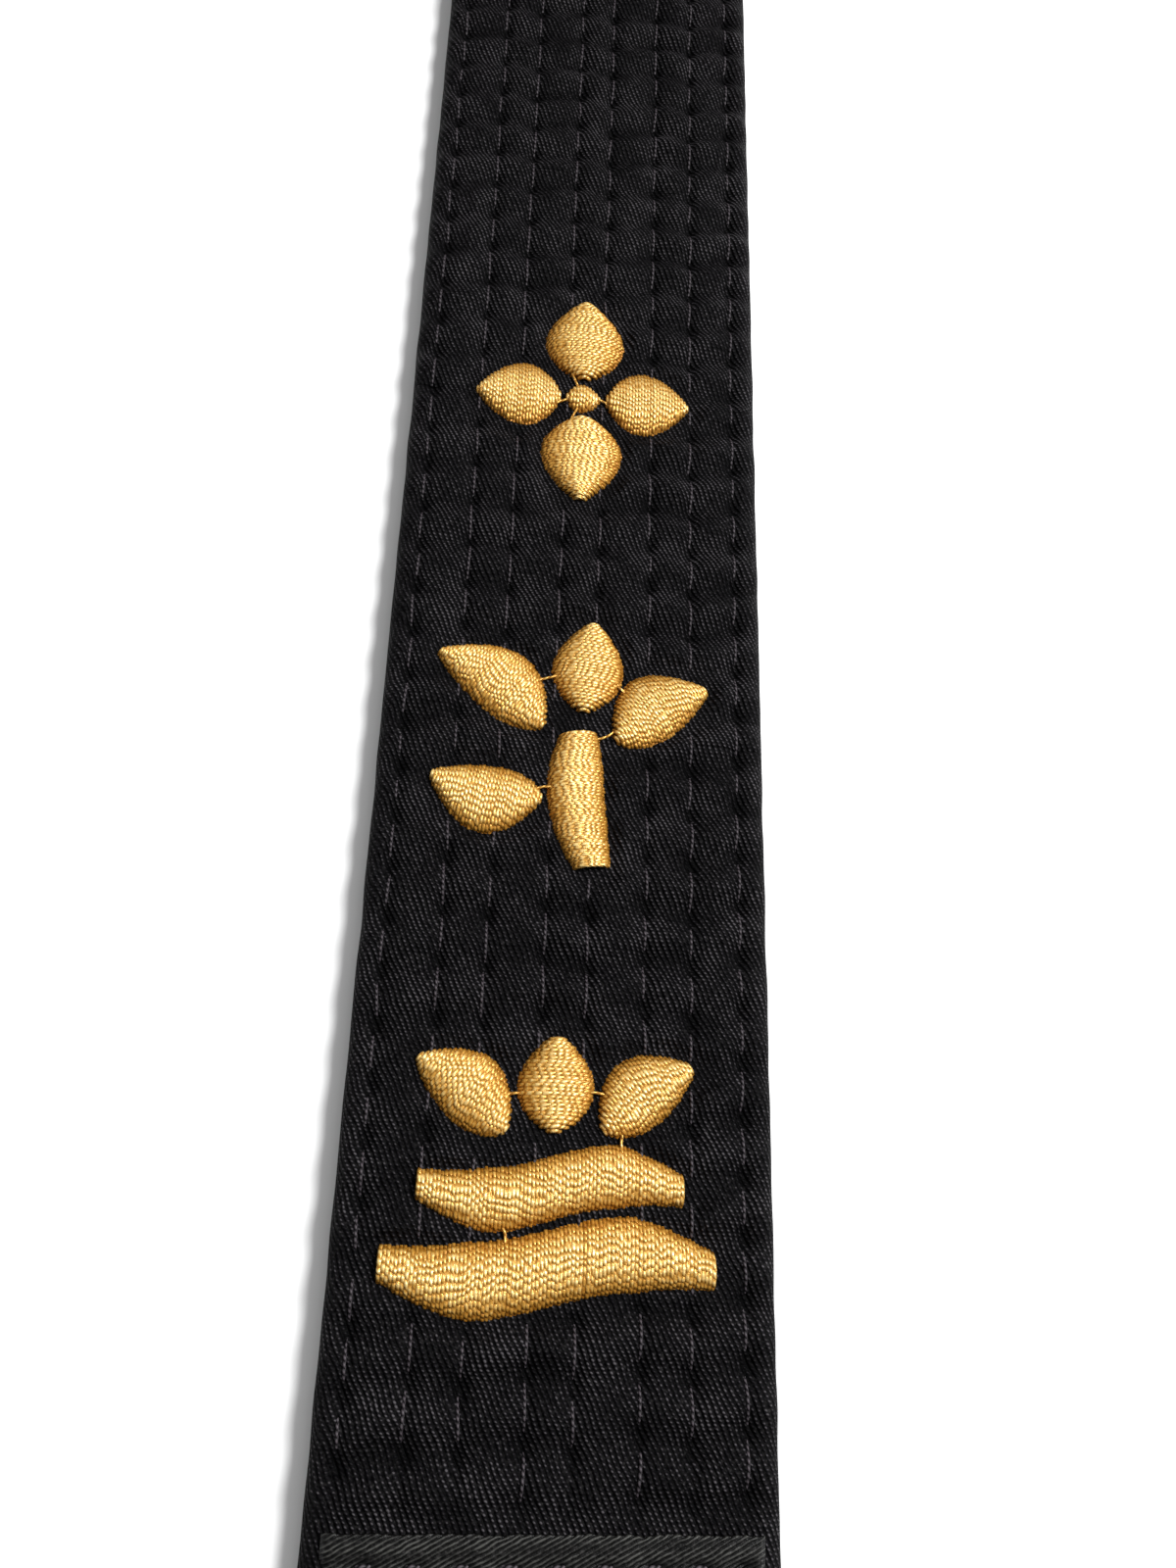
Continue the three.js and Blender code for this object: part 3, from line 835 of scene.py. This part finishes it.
hem = {"length": 7 * mm, "width": 41 * mm, "cloth": 0.6 * mm, "lift": 0.12 * mm, "lip": 0.9 * mm,
       "stitchAt": 4.4 * mm, "stitch": 4.4 * mm, "stitchWidth": 0.4 * mm, "stitchSunk": 0.58 * mm,
       "pit": 0.4 * mm, "groove": 0.2 * mm, "sag": 0.1 * mm, "uneven": 0.14 * mm}


def makeOuterHem():
    # over the face from the hem line, round the end and down to the surface below
    x = steps(-hem["width"] / 2, hem["width"] / 2, 0.45 * mm)
    half = belt["thickness"] / 2
    top = half + hem["lift"] + hem["cloth"]
    turn = 0.9 * mm
    flat = steps(hem["length"], -hem["lip"] + turn, 0.35 * mm)
    arc = np.linspace(0, math.pi / 2, 8)[1:]
    down = steps(top - turn, -half + 0.1 * mm, 0.6 * mm)[1:]
    line = [(y, top, 0, 1) for y in flat]
    for a in arc:
        ny, nz = -math.sin(a), math.cos(a)
        line.append((turn - hem["lip"] + turn * ny, top - turn + turn * nz, ny, nz))
    line += [(-hem["lip"], z, -1, 0) for z in down]
    y, z, ny, nz = np.array(line).T
    run = np.concatenate([[0], np.cumsum(np.hypot(np.diff(y), np.diff(z)))])
    along, across = np.meshgrid(y, x, indexing="ij")
    holes = (across / hem["stitch"] + 0.25) % 1 - 0.5
    fromRow = along - hem["stitchAt"]
    pit = np.exp(-((holes * hem["stitch"] / (1.1 * mm)) ** 2) - (fromRow / (0.45 * mm)) ** 2)
    sag = hem["sag"] * softNoise(across / (9 * mm), along / (7 * mm), 5) - hem["pit"] * pit
    sag = sag - hem["groove"] * np.exp(-(fromRow / (0.9 * mm)) ** 2)
    softEdge = 0.35 * mm * (1 - np.sqrt(np.clip(1 - (np.abs(across) / (hem["width"] / 2)) ** 24, 0, 1)))
    sag = (sag - softEdge) * (nz[:, None] > 0.5)
    # painted shade in the stitch pits of the hem
    paintedHollowShade = np.clip(1.3 * pit, 0, 1) * (nz[:, None] > 0.5)
    atEdge = np.exp(-(hem["length"] - along) / (0.4 * mm))
    along = along + atEdge * hem["uneven"] * softNoise(across / (2.5 * mm), across * 0, 31)
    ny, nz = ny[:, None] + across * 0, nz[:, None] + across * 0
    outer = np.stack([across, endY + along + ny * sag, middle + z[:, None] + nz * sag], -1)
    inner = outer - np.stack([across * 0, ny, nz], -1) * hem["cloth"]
    points = np.concatenate([outer, inner[:, ::-1]], 1).reshape(-1, 3)
    uv = np.stack([across, run[:, None] + across * 0], -1) * 10
    uv = np.concatenate([uv, uv[:, ::-1]], 1).reshape(-1, 2)
    faces = windingFlip(points, ringFaces(len(y), len(x)))
    band = newObject("hem_band", points, faces, uv, hemTwill)
    carryHollowShade(band, paintedHollowShade)
    return band


hemPiece = makeOuterHem()
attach(hemPiece, "tail_end")
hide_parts("hem_band_outer")

hemStitchX = (np.arange(-4, 4) + 0.25) * hem["stitch"]
hemStitchY = endY + hem["stitchAt"]
hemStitchZ = belt["thickness"] + hem["lift"] + hem["cloth"] - hem["stitchSunk"]
crossGuide = guideAt("hem_guide", [(x, hemStitchY, hemStitchZ) for x in hemStitchX],
                     [(1, 0.03 * (-1) ** i, 0) for i in range(len(hemStitchX))],
                     [(0, 0, 1)] * len(hemStitchX))
crossStitches = grow(crossGuide, stitchTree, "hem_cross_stitches",
                     {"Stitch": hem["stitch"], "Width": hem["stitchWidth"]}, blackThread)
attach(crossStitches, "tail_end")
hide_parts("hem_stitching_outer")

innerHemAt = steps(belt["length"] - hem["length"], belt["length"], 0.7 * mm)
innerHemLow = belt["thickness"] / 2 + hem["lift"]
innerHem = makeBand("hem_band_roll_eye", innerHemAt, hem["width"], innerHemLow, innerHemLow + hem["cloth"],
                    hemTwill, 60)
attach(innerHem, "roll")
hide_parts("hem_band_inner")
for name, pieces in (("cover_end", [hemPiece, crossStitches]), ("cover_roll_inner", [innerHem])):
    stations = coverStretches[name][0]
print("hems made")


satin = {"spacing": 0.4 * mm, "width": 0.56 * mm, "crown": 1.4 * mm, "root": 0.5 * mm, "jagged": 0.16 * mm,
         "steps": 12, "padBelow": 0.2 * mm, "narrowest": 0.45 * mm, "jumpWidth": 0.3 * mm}


def makeSatinTree():
    tree, given, made = geometryTree("satinThreads", {"Width": 0.45 * mm})
    curve = add(tree, "GeometryNodeMeshToCurve", Mesh=given.outputs["Geometry"])
    tube, around = roundThread(tree, curve.outputs[0], given.outputs["Width"])
    turned = add(tree, "ShaderNodeCombineXYZ", Y=around)
    carried = tree.nodes.new("ShaderNodeVectorMath")
    tree.links.new(named(tree, "strand"), carried.inputs[0])
    tree.links.new(turned.outputs[0], carried.inputs[1])
    dress(tree, storeThreadMap(tree, tube, carried.outputs[0]), given, made)
    return tree


satinTree = makeSatinTree()


def strandGuide(name, strands, toneAndSideShade, rng):
    # one row of points for each thread; each carries its length so far, a random turn and its shade: its
    # own tone, less painted shade towards a pad's sides
    count, points, _ = strands.shape
    mesh = bpy.data.meshes.new(name)
    first = np.arange(count)[:, None] * points + np.arange(points - 1)[None]
    pairs = np.stack([first, first + 1], -1).reshape(-1, 2)
    mesh.from_pydata(strands.reshape(-1, 3).tolist(), pairs.tolist(), [])
    run = np.cumsum(np.linalg.norm(np.diff(strands, axis=1, prepend=strands[:, :1]), axis=2), axis=1) / mm
    turn = np.broadcast_to(rng.uniform(0, 1, count)[:, None], run.shape)
    attribute = mesh.attributes.new("strand", "FLOAT_VECTOR", "POINT")
    carried = np.stack([run, turn, np.broadcast_to(toneAndSideShade, run.shape)], -1)
    attribute.data.foreach_set("vector", carried.astype(np.float32).ravel())
    obj = bpy.data.objects.new(name, mesh)
    bpy.context.scene.collection.objects.link(obj)
    return obj


def crownHeight(width):
    return satin["crown"] * (1 - np.exp(-width / (2.4 * mm)))


def domeOver(v):
    # the rounded section of a pad, from 0 at its edges to 1 along its middle
    return (1 - np.abs(2 * v - 1) ** 2.3) ** 0.55


def sewPad(name, edges, centre, seed):
    # satin threads side by side over the pad, and the padding under them, painted darker as shade in the
    # gaps between threads
    rng = np.random.default_rng(seed)
    fine = np.linspace(0, 1, 200)
    low, high = edges(fine)
    spine = (low + high) / 2
    run = np.concatenate([[0], np.cumsum(np.hypot(*np.diff(spine, axis=0).T))])
    count = int(run[-1] / satin["spacing"])
    t = np.interp((np.arange(count) + 0.5) * satin["spacing"], run, fine)
    low, high = edges(t)
    width = np.hypot(*(high - low).T)
    keep = width > satin["narrowest"]
    low, high, width = low[keep], high[keep], width[keep]
    count = len(low)
    across = (high - low) / width[:, None]
    low = low - across * rng.uniform(-0.2, 1, count)[:, None] * satin["jagged"]
    high = high + across * rng.uniform(-0.2, 1, count)[:, None] * satin["jagged"]
    v = np.linspace(0, 1, satin["steps"])
    v = 0.5 - 0.5 * np.cos(math.pi * v) * (0.7 + 0.3 * np.abs(np.cos(math.pi * v)))
    crown = crownHeight(width) * (1 + rng.normal(0, 0.018, count))
    flat = low[:, None] + (high - low)[:, None] * v[None, :, None]
    flat = flat + centre[None, None, :]
    floorZ = belt["thickness"] - satin["root"]
    z = floorZ + (crown + satin["root"])[:, None] * domeOver(v)[None] - satin["width"] / 2
    strands = np.concatenate([flat, z[..., None]], -1)
    # each thread's own tone, darkened as painted shade towards the pad's sides where the threads dive
    toneAndSideShade = np.clip(0.92 + rng.normal(0, 0.05, count)[:, None] - 0.55 * np.abs(2 * v - 1)[None] ** 3, 0, 1)
    guide = strandGuide(name + "_guide", strands, toneAndSideShade, rng)
    threads = grow(guide, satinTree, name, {"Width": satin["width"]}, goldSatin)
    along, around = 40, 13  # points of the padding under the threads
    t = np.linspace(0.02, 0.98, along)
    low, high = edges(t)
    width = np.hypot(*(high - low).T)
    v = np.linspace(0, 1, around)
    flat = low[:, None] + (high - low)[:, None] * (0.04 + 0.92 * v)[None, :, None] + centre[None, None, :]
    rise = crownHeight(width) + satin["root"] - satin["padBelow"] - satin["width"] / 2
    top = floorZ + np.maximum(rise, 0.05 * mm)[:, None] * domeOver(v)[None]
    bottom = top * 0 + floorZ - 0.1 * mm
    points = np.concatenate([np.concatenate([flat, top[..., None]], -1),
                             np.concatenate([flat, bottom[..., None]], -1)[:, ::-1]], 1).reshape(-1, 3)
    faces = windingFlip(points, ringFaces(along, around))
    padding = newObject(name + "_padding", points, faces, None, goldPaddingInShade)
    # the padding takes a middling shade, so the gaps between threads show as painted shade
    carried = padding.data.attributes.new("threadMap", "FLOAT_VECTOR", "POINT")
    carried.data.foreach_set("vector", np.tile(np.array([0, 0, 0.5], np.float32), len(points)))
    return threads, padding


def nearestPoints(edgesA, edgesB):
    # where two pads come closest: the gap and a point on each
    t = np.linspace(0.04, 0.96, 24)
    sideA, sideB = np.concatenate(edgesA(t)), np.concatenate(edgesB(t))
    gaps = np.hypot(*(sideA[:, None] - sideB[None]).transpose(2, 0, 1))
    i, j = np.unravel_index(np.argmin(gaps), gaps.shape)
    return gaps[i, j], sideA[i], sideB[j]


def jumpRoute(pads):
    # the shortest set of jumps that reaches every pad
    reached, left, jumps = pads[:1], pads[1:], []
    while left:
        options = [(*nearestPoints(one, other), k) for one in reached for k, other in enumerate(left)]
        gap, start, end, k = min(options, key=lambda option: option[0])
        jumps.append((gap, start, end))
        reached.append(left.pop(k))
    return jumps


def jumpThread(name, gap, start, end, centre, seed):
    # the thread carried from one pad to the next, lying on the cloth
    rng = np.random.default_rng(seed)
    reach = (end - start) / gap * 0.7 * mm
    start, end = start - reach, end + reach
    t = np.linspace(0, 1, 10)
    side = np.array([-(end - start)[1], (end - start)[0]])
    bow = 0.12 * rng.uniform(-1, 1) * np.sin(math.pi * t)
    flat = start + (end - start) * t[:, None] + side * bow[:, None]
    z = belt["thickness"] + (0.15 + 0.1 * np.sin(math.pi * t)) * mm
    strands = np.concatenate([flat + centre, z[:, None]], -1)[None]
    guide = strandGuide(name + "_guide", strands, 0.7, rng)
    return grow(guide, satinTree, name, {"Width": satin["jumpWidth"]}, goldSatin)


for index, emblem in enumerate(emblems):
    centre = np.array([emblem["x"], endY + emblemAt[index]])
    for order, (padName, edges) in enumerate(emblem["pads"].items()):
        name = f"{emblem['name']}_{padName}"
        threads, padding = sewPad(name + "_satin", edges, centre, 100 * index + order)
        for piece in (threads, padding):
            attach(piece, emblem["body"])
        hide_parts(name)
    for order, (gap, start, end) in enumerate(jumpRoute(list(emblem["pads"].values()))):
        name = f"{emblem['name']}_jump_thread_{order + 1}"
        piece = jumpThread(name, gap, start, end, centre, 900 + 10 * index + order)
        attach(piece, emblem["body"])
print("embroidery made")

floorMesh = bpy.data.meshes.new("floor")
floorMesh.from_pydata([(-3, -3, 0), (3, -3, 0), (3, 3, 0), (-3, 3, 0)], [], [(0, 1, 2, 3)])
floor = bpy.data.objects.new("floor", floorMesh)
bpy.context.scene.collection.objects.link(floor)
floorPaint, _, floorShader = startMaterial("floorPaint", 0.8, 0.2)
floorShader.inputs["Base Color"].default_value = (0.86, 0.86, 0.86, 1)
floorMesh.materials.append(floorPaint)

# brighter from behind and above, and pale where it is seen
sky = {"towards": (0.25, 0.6, 0.76), "low": 0.22, "high": 0.74, "seen": 0.92}
world = bpy.data.worlds.new("studio")
world.use_nodes = True
worldTree = world.node_tree
facing = worldTree.nodes.new("ShaderNodeVectorMath")
facing.operation = "DOT_PRODUCT"
worldTree.links.new(worldTree.nodes.new("ShaderNodeTexCoord").outputs["Generated"], facing.inputs[0])
facing.inputs[1].default_value = sky["towards"]
glow = mathNode(worldTree, "POWER", mathNode(worldTree, "MAXIMUM", facing.outputs["Value"], 0.0), 2.0)
glow = mathNode(worldTree, "MULTIPLY_ADD", glow, sky["high"], sky["low"])
lightPath = worldTree.nodes.new("ShaderNodeLightPath")
seen = mathNode(worldTree, "MULTIPLY", lightPath.outputs["Is Camera Ray"], sky["seen"])
background = worldTree.nodes["Background"]
worldTree.links.new(mathNode(worldTree, "MAXIMUM", glow, seen), background.inputs["Strength"])
background.inputs["Color"].default_value = (1, 1, 1, 1)
bpy.context.scene.world = world


def softLight(name, place, aim, size, power):
    data = bpy.data.lights.new(name, "AREA")
    data.shape = "DISK"
    data.size = size
    data.energy = power
    light = bpy.data.objects.new(name, data)
    light.location = place
    back = np.array(place) - np.array(aim)
    tilt = math.atan2(math.hypot(back[0], back[1]), back[2])
    light.rotation_euler = (tilt, 0, math.atan2(back[1], back[0]) + math.pi / 2)
    bpy.context.scene.collection.objects.link(light)


softLight("window", (0.47, 0.06, 0.66), (0, -0.08, 0), 0.28, 10.5)

# held close over the belt's end, leaning towards the roll
view = {"lens": 27.045, "across": -11.405 * mm, "pastHem": 26.870 * mm, "above": 125.605 * mm,
        "turned": (20.3027, -6.5632, 1.6687)}
cameraData = bpy.data.cameras.new("camera")
cameraData.sensor_fit = "AUTO"
cameraData.sensor_width = 36
cameraData.lens = view["lens"]
cameraData.clip_start = 0.005
camera = bpy.data.objects.new("camera", cameraData)
hemLineY = endY + hem["length"]
camera.location = (view["across"], hemLineY + view["pastHem"], belt["thickness"] + view["above"])
camera.rotation_euler = tuple(math.radians(a) for a in view["turned"])
bpy.context.scene.collection.objects.link(camera)
bpy.context.scene.camera = camera
bpy.context.scene.view_settings.view_transform = "Standard"
